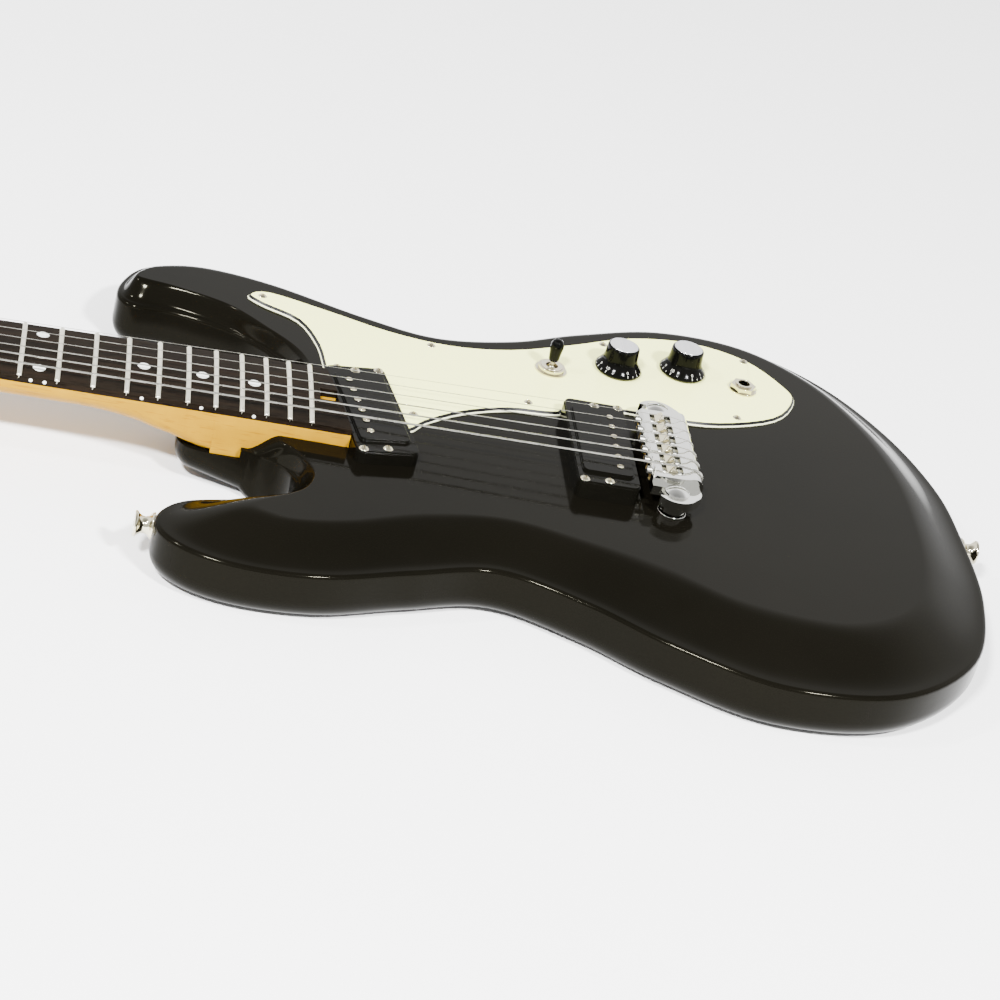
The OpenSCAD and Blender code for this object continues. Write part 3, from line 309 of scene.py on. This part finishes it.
# ---------------------------------------------------------------- mesh helpers
SHARP_ANGLE = 32.0
BODY_SHARP_ANGLE = 40.0
GUARD_SHARP_ANGLE = 25.0
BEVEL_ANGLE = 38.0
BEVEL_SEGMENTS = 2
# Merging distance, in millimetres, and flatness, in degrees, for joining facets up
MERGE = 0.002
FLAT_ANGLE = 0.3


def link_object(name, data):
    """A new object in the scene."""
    obj = bpy.data.objects.new(name, data)
    bpy.context.scene.collection.objects.link(obj)
    return obj


def mesh_object(bm, name):
    """A new mesh object from a bmesh, which is used up."""
    mesh = bpy.data.meshes.new(name)
    bm.to_mesh(mesh)
    bm.free()
    return link_object(name, mesh)


def shade(mesh, sharp):
    """Smooth shading, but for edges sharper than so many degrees."""
    mesh.polygons.foreach_set("use_smooth", [True] * len(mesh.polygons))
    mesh.set_sharp_from_angle(angle=math.radians(sharp))


def weigh_normals(obj):
    """Keeps large flat faces flat beside rounded edges."""
    normal = obj.modifiers.new("normals", "WEIGHTED_NORMAL")
    normal.keep_sharp = True


def finish_mesh(bm, name, body, slot, nodes=(), sharp=SHARP_ANGLE):
    """Turns a bmesh into a piece that rides on a body, smooth but for its sharp edges."""
    obj = mesh_object(bm, name)
    shade(obj.data, sharp)
    obj.data.materials.append(MATERIALS[slot])
    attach(obj, body)
    if nodes:
        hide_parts(*nodes)
    return obj


def baked(obj):
    """Applies an object's modifiers."""
    graph = bpy.context.evaluated_depsgraph_get()
    mesh = bpy.data.meshes.new_from_object(obj.evaluated_get(graph))
    obj.modifiers.clear()
    obj.data = mesh
    return obj


def soften(obj, width):
    """Rounds the sharp edges a little, as on any real edge."""
    bevel = obj.modifiers.new("bevel", "BEVEL")
    bevel.width = width * MM
    bevel.segments = BEVEL_SEGMENTS
    bevel.limit_method = "ANGLE"
    bevel.angle_limit = math.radians(BEVEL_ANGLE)
    bevel.use_clamp_overlap = True
    bevel.harden_normals = False
    weigh_normals(obj)


def merged_bmesh(node):
    """The CAD node's mesh with its facets joined up."""
    bm = bmesh.new()
    bm.from_mesh(NODES[node].data)
    bmesh.ops.remove_doubles(bm, verts=bm.verts, dist=MERGE * MM)
    bmesh.ops.dissolve_limit(bm, angle_limit=math.radians(FLAT_ANGLE), verts=bm.verts,
                             edges=bm.edges)
    return bm


def refined(node, width):
    """The CAD node's shape with rounded edges and smooth sides."""
    soften(finish_mesh(merged_bmesh(node), node + "_look", BODY_OF[node], SLOT_OF[node],
                       (node,)), width)


def smooth_loop(points, steps):
    """A closed smooth curve through the points."""
    n = len(points)
    result = []
    for i in range(n):
        a, b, c, d = (Vector(points[(i + k) % n]) for k in (-1, 0, 1, 2))
        for k in range(steps):
            t = k / steps
            result.append((2 * b + (c - a) * t + (2 * a - 5 * b + 4 * c - d) * t * t
                           + (3 * b - a - 3 * c + d) * t * t * t) / 2)
    return result


def from_neck(x, z):
    """The x and z, in the shared frame, of a point of the neck's own frame."""
    return (PIVOT_X + (x - PIVOT_X) * math.cos(NECK_ANGLE) - z * math.sin(NECK_ANGLE),
            BODY_T + NECK_RISE + (x - PIVOT_X) * math.sin(NECK_ANGLE) + z * math.cos(NECK_ANGLE))


def prism(outline, low, high):
    """A closed upright prism as a bmesh, in metres, from a plan in millimetres."""
    bm = bmesh.new()
    rings = [[bm.verts.new((x * MM, y * MM, z * MM)) for x, y in outline] for z in (low, high)]
    n = len(outline)
    for i in range(n):
        j = (i + 1) % n
        bm.faces.new((rings[0][i], rings[0][j], rings[1][j], rings[1][i]))
    bm.faces.new(list(reversed(rings[0])))
    bm.faces.new(rings[1])
    bmesh.ops.recalc_face_normals(bm, faces=bm.faces)
    return bm


def combine(obj, tool, operation):
    """Applies a boolean with a tool object, which is used up."""
    mod = obj.modifiers.new("bool", "BOOLEAN")
    mod.operation = operation
    mod.solver = "EXACT"
    mod.object = tool
    baked(obj)
    bpy.data.objects.remove(tool)


# ---------------------------------------------------------------- body
BACK_ROUND = 12.0
RIM_ROUND = 2.5
CARVE_DROP = BODY_T - RIM_Z
# Points of the smooth plan per given point
PLAN_STEPS = 8
# Most of the way from the rim to the flat top that an inset may take
INSET_LIMIT = 0.85


def edge_levels():
    """Levels of the edge from the back up, as (blend to the flat top, inset, height)."""
    levels = [(0, BACK_ROUND * (1 - math.sin(a)), BACK_ROUND * (1 - math.cos(a)))
              for a in (math.radians(11.25 * k) for k in range(9))]
    levels += [(0, 0, BACK_ROUND + (RIM_Z - RIM_ROUND - BACK_ROUND) * k / 3) for k in (1, 2)]
    levels += [(0, RIM_ROUND * (1 - math.cos(a)), RIM_Z + RIM_ROUND * (math.sin(a) - 1))
               for a in (math.radians(15 * k) for k in range(7))]
    levels += [(s, RIM_ROUND, RIM_Z + CARVE_DROP * s * s * (3 - 2 * s))
               for s in (k / 18 for k in range(1, 19))]
    return levels


def body_shell():
    """The body before its hollows: rings from the back up, closed at both ends."""
    rim = smooth_loop([p[0] for p in OUTLINE], PLAN_STEPS)
    top = smooth_loop([p[1] for p in OUTLINE], PLAN_STEPS)
    bm = bmesh.new()
    rings = []
    for blend, inset, z in edge_levels():
        ring = []
        for a, b in zip(rim, top):
            gap = b - a
            start = a + gap.normalized() * min(inset, INSET_LIMIT * gap.length)
            at = start.lerp(b, blend)
            ring.append(bm.verts.new((at.x * MM, at.y * MM, z * MM)))
        rings.append(ring)
    n = len(rim)
    for low, high in zip(rings, rings[1:]):
        for i in range(n):
            j = (i + 1) % n
            bm.faces.new((low[i], high[i], high[j], low[j]))
    bm.faces.new(rings[0])
    bm.faces.new(list(reversed(rings[-1])))
    bmesh.ops.recalc_face_normals(bm, faces=bm.faces)
    return bm


def hull(points):
    """The convex shape round points in millimetres."""
    bm = bmesh.new()
    verts = [bm.verts.new(Vector(p) * MM) for p in points]
    made = bmesh.ops.convex_hull(bm, input=verts)
    spare = {v for v in made["geom_interior"] + made["geom_unused"]
             if isinstance(v, bmesh.types.BMVert)}
    bmesh.ops.delete(bm, geom=list(spare), context="VERTS")
    bmesh.ops.dissolve_limit(bm, angle_limit=math.radians(0.2), verts=bm.verts, edges=bm.edges)
    bmesh.ops.recalc_face_normals(bm, faces=bm.faces)
    return bm


def tongue():
    """The part of the body that carries the neck beyond the cutaways."""
    end, half, corner, round_r, disc = -250.5, 28.0, 12.0, 12.0, 23.0
    points = []
    for k in range(48):
        a = 2 * math.pi * k / 48
        for side in (-1, 1):
            points += [(end + corner + corner * math.cos(a) * math.cos(b), side * (half - corner)
                        + corner * math.sin(a) * math.cos(b), z)
                       for b, z in [(0, RIM_Z)] + [(t, 17 - corner * math.sin(t)) for t in
                                                   (math.radians(7.5 * n) for n in range(12))]]
        for step in range(0, 13):
            b = math.radians(7.5 * step)
            r = disc - round_r + round_r * math.sin(b)
            points.append((end + disc + 1 + r * math.cos(a), r * math.sin(a),
                           round_r * (1 - math.cos(b))))
    for x in (-206, -202):
        for side in (-1, 1):
            points += [(x, side * (half + 2 - 5 + 9 * math.sin(b)), 9 - 9 * math.cos(b))
                       for b in (math.radians(7.5 * k) for k in range(13))]
            points.append((x, side * (half + 6), RIM_Z))
    return hull(points)


def neck_prism(plan, low, high):
    """A prism whose plan and heights are given in the neck's own frame."""
    bm = prism(plan, low, high)
    for v in bm.verts:
        x, z = from_neck(v.co.x / MM, v.co.z / MM)
        v.co = (x * MM, v.co.y, z * MM)
    return bm


def neck_half(x):
    """Half of the heel's width at a length along the neck."""
    return NUT_WIDTH / 2 + (BRIDGE_END_WIDTH - NUT_WIDTH) / SCALE_LEN * (x + SCALE_LEN)


def heel_plan(start):
    """The heel's plan, with the end under the pickup cut on a slant."""
    far = BOARD_END - 2 * neck_half(BOARD_END) * math.tan(NECK_SLANT)
    return [(start, -neck_half(start)), (BOARD_END, -neck_half(BOARD_END)),
            (far, neck_half(BOARD_END)), (start, neck_half(start))]


# Heights, in the neck's own frame, over which the pocket is cut
POCKET_TOP = 30.0
POCKET_START = -262.0
# Where the lip beyond the body stops carrying the heel's full depth
LIP_CUT = [(-320, -50), (-219, -50), (-219, 50), (-320, 50)]
HOLLOW_FLOOR = 6.0
HOLLOW_TOP = 60.0
CONTROL_HOLLOW = [(-66, 74), (-40, 70), (-10, 80), (30, 82), (66, 86), (76, 98), (68, 114),
                  (36, 126), (-2, 118), (-36, 102), (-62, 94)]


def build_body():
    """The body with the lip that carries the neck, the neck's pocket and the hollow."""
    obj = finish_mesh(body_shell(), "body_look", "root", "body_gloss", ("body",),
                      BODY_SHARP_ANGLE)
    lip = mesh_object(tongue(), "tongue_tool")
    over = neck_prism(LIP_CUT, -HEEL_DEPTH, POCKET_TOP)
    combine(lip, mesh_object(over, "over_tool"), "DIFFERENCE")
    combine(obj, lip, "UNION")
    pocket = neck_prism(heel_plan(POCKET_START), -HEEL_DEPTH, POCKET_TOP)
    combine(obj, mesh_object(pocket, "pocket_tool"), "DIFFERENCE")
    hollow = prism([tuple(p) for p in smooth_loop(CONTROL_HOLLOW, 4)],
                   HOLLOW_FLOOR, HOLLOW_TOP)
    combine(obj, mesh_object(hollow, "hollow_tool"), "DIFFERENCE")
    shade(obj.data, BODY_SHARP_ANGLE)
    weigh_normals(obj)


# ---------------------------------------------------------------- guard and dials
# Width of the guard's chamfered edge
GUARD_CHAMFER = 1.8


def build_pickguard():
    """The guard with its chamfered edge, where the plies show."""
    bm = merged_bmesh("pickguard")
    top = GUARD_Z * MM

    def is_rim(edge):
        return (all(abs(v.co.z - top) < 0.01 * MM for v in edge.verts)
                and any(abs(f.normal.z) < 0.3 for f in edge.link_faces))

    rims = {e for e in bm.edges if is_rim(e)}
    loops = []
    while rims:
        loop, front = [], [rims.pop()]
        while front:
            edge = front.pop()
            loop.append(edge)
            near = {e for v in edge.verts for e in v.link_edges if e in rims}
            rims -= near
            front += near
        loops.append(loop)

    def spread(loop):
        xs = [v.co.x for e in loop for v in e.verts]
        return max(xs) - min(xs)

    bmesh.ops.bevel(bm, geom=max(loops, key=spread), offset=GUARD_CHAMFER * MM, segments=1,
                    profile=0.5, affect="EDGES", clamp_overlap=False)
    finish_mesh(bm, "pickguard_look", "root", "guard", ("pickguard",), GUARD_SHARP_ANGLE)


# Sloped side of a knob's skirt, as radius and height over the guard's top
SKIRT = [(13.0, 2.4), (11.0, 5.0), (9.8, 7.0)]
DIAL_START = math.radians(-72)
DIAL_SPAN = math.radians(300)
# Ticks: radius at their middle, height off the skirt, and the half width and the top end of
# a tick that has a number and of one that has none
TICK_RADIUS = 12.2
TICK_DEPTHS = (-0.2, 0.03)
TICK_LOW = 0.15
NUMBERED_TICK = (0.14, 1.5)
PLAIN_TICK = (0.10, 1.1)
# Numbers: radius, foot of the digits up the slope, sink, and the type's measures
NUMBER_RADIUS = 10.6
NUMBER_FOOT = 2.1
NUMBER_SINK = 0.07
NUMBER_SIZE = 2.4
NUMBER_THINNING = -0.03
NUMBER_DEPTH = 0.1


def on_skirt(center, angle, along, lift):
    """A point so far up the skirt's slope, lifted off it."""
    for (r0, z0), (r1, z1) in zip(SKIRT, SKIRT[1:]):
        length = math.hypot(r1 - r0, z1 - z0)
        if along <= length or (r1, z1) == SKIRT[-1]:
            break
        along -= length
    t = along / length
    out, rise = (z1 - z0) / length, (r0 - r1) / length
    r = r0 + (r1 - r0) * t + out * lift
    z = z0 + (z1 - z0) * t + rise * lift
    return Vector((center[0] + r * math.cos(angle), center[1] + r * math.sin(angle),
                   GUARD_Z + z)) * MM


def dial_marks(name, center, body):
    """The numbers 0 to 10 and their ticks, printed round a knob's skirt."""
    bm = bmesh.new()
    for mark in range(21):
        angle = DIAL_START + mark * DIAL_SPAN / 20
        half, high = PLAIN_TICK if mark % 2 else NUMBERED_TICK
        corners = [bm.verts.new(on_skirt(center, angle + du / TICK_RADIUS, v, lift))
                   for lift in TICK_DEPTHS
                   for du, v in ((-half, TICK_LOW), (half, TICK_LOW), (half, high),
                                 (-half, high))]
        for ring in ((3, 2, 1, 0), (4, 5, 6, 7), (0, 1, 5, 4), (1, 2, 6, 5), (2, 3, 7, 6),
                     (3, 0, 4, 7)):
            bm.faces.new([corners[i] for i in ring])
        if mark % 2:
            continue
        text = bpy.data.curves.new(name + "_number", "FONT")
        text.body = str(mark // 2)
        text.size = NUMBER_SIZE
        text.offset = NUMBER_THINNING
        text.align_x = "CENTER"
        text.extrude = NUMBER_DEPTH
        text.resolution_u = 3
        obj = link_object(name + "_number", text)
        graph = bpy.context.evaluated_depsgraph_get()
        flat = bpy.data.meshes.new_from_object(obj.evaluated_get(graph))
        for v in flat.vertices:
            v.co = on_skirt(center, angle + v.co.x / NUMBER_RADIUS, NUMBER_FOOT + v.co.y,
                            v.co.z - NUMBER_SINK)
        bm.from_mesh(flat)
        bpy.data.objects.remove(obj)
    bmesh.ops.recalc_face_normals(bm, faces=bm.faces)
    obj = mesh_object(bm, name)
    obj.data.materials.append(WHITE_PRINT)
    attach(obj, body)


WHITE_PRINT = plastic("white_print", (0.42, 0.42, 0.39), (0.52, 0.52, 0.49), (0.4, 0.5), 80)
build_body()
build_pickguard()
dial_marks("volume_numbers", VOLUME, BODY_OF["volume_knob"])
dial_marks("tone_numbers", TONE, BODY_OF["tone_knob"])

# Width of the rounded edges, in millimetres
BEVELS = {
    "neck": 0.5, "fretboard": 0.3, "frets": 0.3, "nut": 0.3, "neck_pickup_housing": 1.2,
    "bridge_pickup_housing": 1.2, "neck_pickup_cover": 0.8, "bridge_pickup_cover": 0.8,
    "bridge": 0.5, "bridge_studs": 0.5, "toggle_tip": 0.3, "volume_knob": 0.25,
    "tone_knob": 0.25, "strap_buttons": 0.4, "tuner_housings": 0.8,
}
KEY_BEVEL = 0.6
USUAL_BEVEL = 0.15
BUILT_ABOVE = {"body", "pickguard"}
for node in NODES:
    if node not in BUILT_ABOVE:
        is_key = node.startswith("tuner_key")
        refined(node, KEY_BEVEL if is_key else BEVELS.get(node, USUAL_BEVEL))


# ---------------------------------------------------------------- stage
FLOOR_SIZE = 12
FLOOR_GAP = 0.0005


def build_floor():
    bm = bmesh.new()
    half = FLOOR_SIZE / 2
    z = CAD_BOX[0][2] - FLOOR_GAP
    bm.faces.new([bm.verts.new((x, y, z)) for x, y in
                  ((-half, -half), (half, -half), (half, half), (-half, half))])
    obj = mesh_object(bm, "floor")
    obj.data.materials.append(floor_material())


def floor_material():
    s = Shader("pale_floor")
    s.color(s.ramp(s.noise(3), [(0.3, (0.93, 0.93, 0.93)), (0.7, (0.95, 0.95, 0.95))]))
    s.bsdf.inputs["Roughness"].default_value = 0.9
    s.bsdf.inputs["Specular IOR Level"].default_value = 0.1
    return s.mat


def area_light(name, place, size, power):
    """A soft lamp aimed at the origin."""
    data = bpy.data.lights.new(name, "AREA")
    data.shape = "RECTANGLE"
    data.size, data.size_y = size
    data.energy = power
    obj = link_object(name, data)
    obj.location = place
    obj.rotation_euler = (-Vector(place)).to_track_quat("-Z", "Y").to_euler()


# Lamps on the viewer's side, as place, size and power
LAMPS = [((-1.1, -1.6, 2.0), (0.36, 0.20), 235), ((0.9, -1.7, 2.1), (0.36, 0.20), 235),
         ((-1.9, -0.4, 1.9), (0.20, 0.12), 40)]
# Brightness of the studio round the guitar, by height over the horizon
SKY = [(0.0, 1.5), (0.35, 2.3), (0.60, 2.2), (0.80, 0.8), (1.0, 0.5)]
# How the studio dims towards the viewer: from this y of a direction to that, and the factors
SKY_DIMMING = {"From Min": -0.5, "From Max": 0.3, "To Min": 0.45, "To Max": 1.0}


def build_sky():
    """A studio that is bright low down beyond the guitar and dim overhead and behind the viewer."""
    world = bpy.data.worlds.new("studio")
    world.use_nodes = True
    tree = world.node_tree
    node = tree.nodes.new
    split = node("ShaderNodeSeparateXYZ")
    tree.links.new(node("ShaderNodeTexCoord").outputs["Generated"], split.inputs["Vector"])
    height = node("ShaderNodeValToRGB")
    for element, (at, glow) in zip(height.color_ramp.elements, (SKY[0], SKY[-1])):
        element.position = at
        element.color = (glow, glow, glow, 1)
    for at, glow in SKY[1:-1]:
        height.color_ramp.elements.new(at).color = (glow, glow, glow, 1)
    tree.links.new(split.outputs["Z"], height.inputs["Fac"])
    beyond = node("ShaderNodeMapRange")
    for name, value in SKY_DIMMING.items():
        beyond.inputs[name].default_value = value
    tree.links.new(split.outputs["Y"], beyond.inputs["Value"])
    product = node("ShaderNodeMath")
    product.operation = "MULTIPLY"
    tree.links.new(height.outputs["Color"], product.inputs[0])
    tree.links.new(beyond.outputs["Result"], product.inputs[1])
    background = tree.nodes["Background"]
    background.inputs["Color"].default_value = (1, 1, 1, 1)
    tree.links.new(product.outputs["Value"], background.inputs["Strength"])
    bpy.context.scene.world = world


def build_stage():
    build_floor()
    for number, (place, size, power) in enumerate(LAMPS):
        area_light("lamp_%d" % number, place, size, power)
    build_sky()


CAMERA_PLACE = (-360.7, -1282.5, 762.7)
CAMERA_FORWARD = (0.1868, 0.8456, -0.5001)
CAMERA_RIGHT = (0.9699, -0.0775, 0.2311)
SENSOR_WIDTH = 36
LENS = 104.67


def build_camera():
    """The viewpoint over the bass side, rolled so the strings run almost level."""
    back = -Vector(CAMERA_FORWARD).normalized()
    right = Vector(CAMERA_RIGHT).normalized()
    up = back.cross(right)
    right = up.cross(back)
    turn = Matrix((right, up, back)).transposed().to_4x4()
    data = bpy.data.cameras.new("view")
    data.sensor_width = SENSOR_WIDTH
    data.lens = LENS
    data.clip_start = 0.01
    obj = link_object("view", data)
    obj.matrix_world = Matrix.Translation(Vector(CAMERA_PLACE) * MM) @ turn
    bpy.context.scene.camera = obj


build_stage()
build_camera()
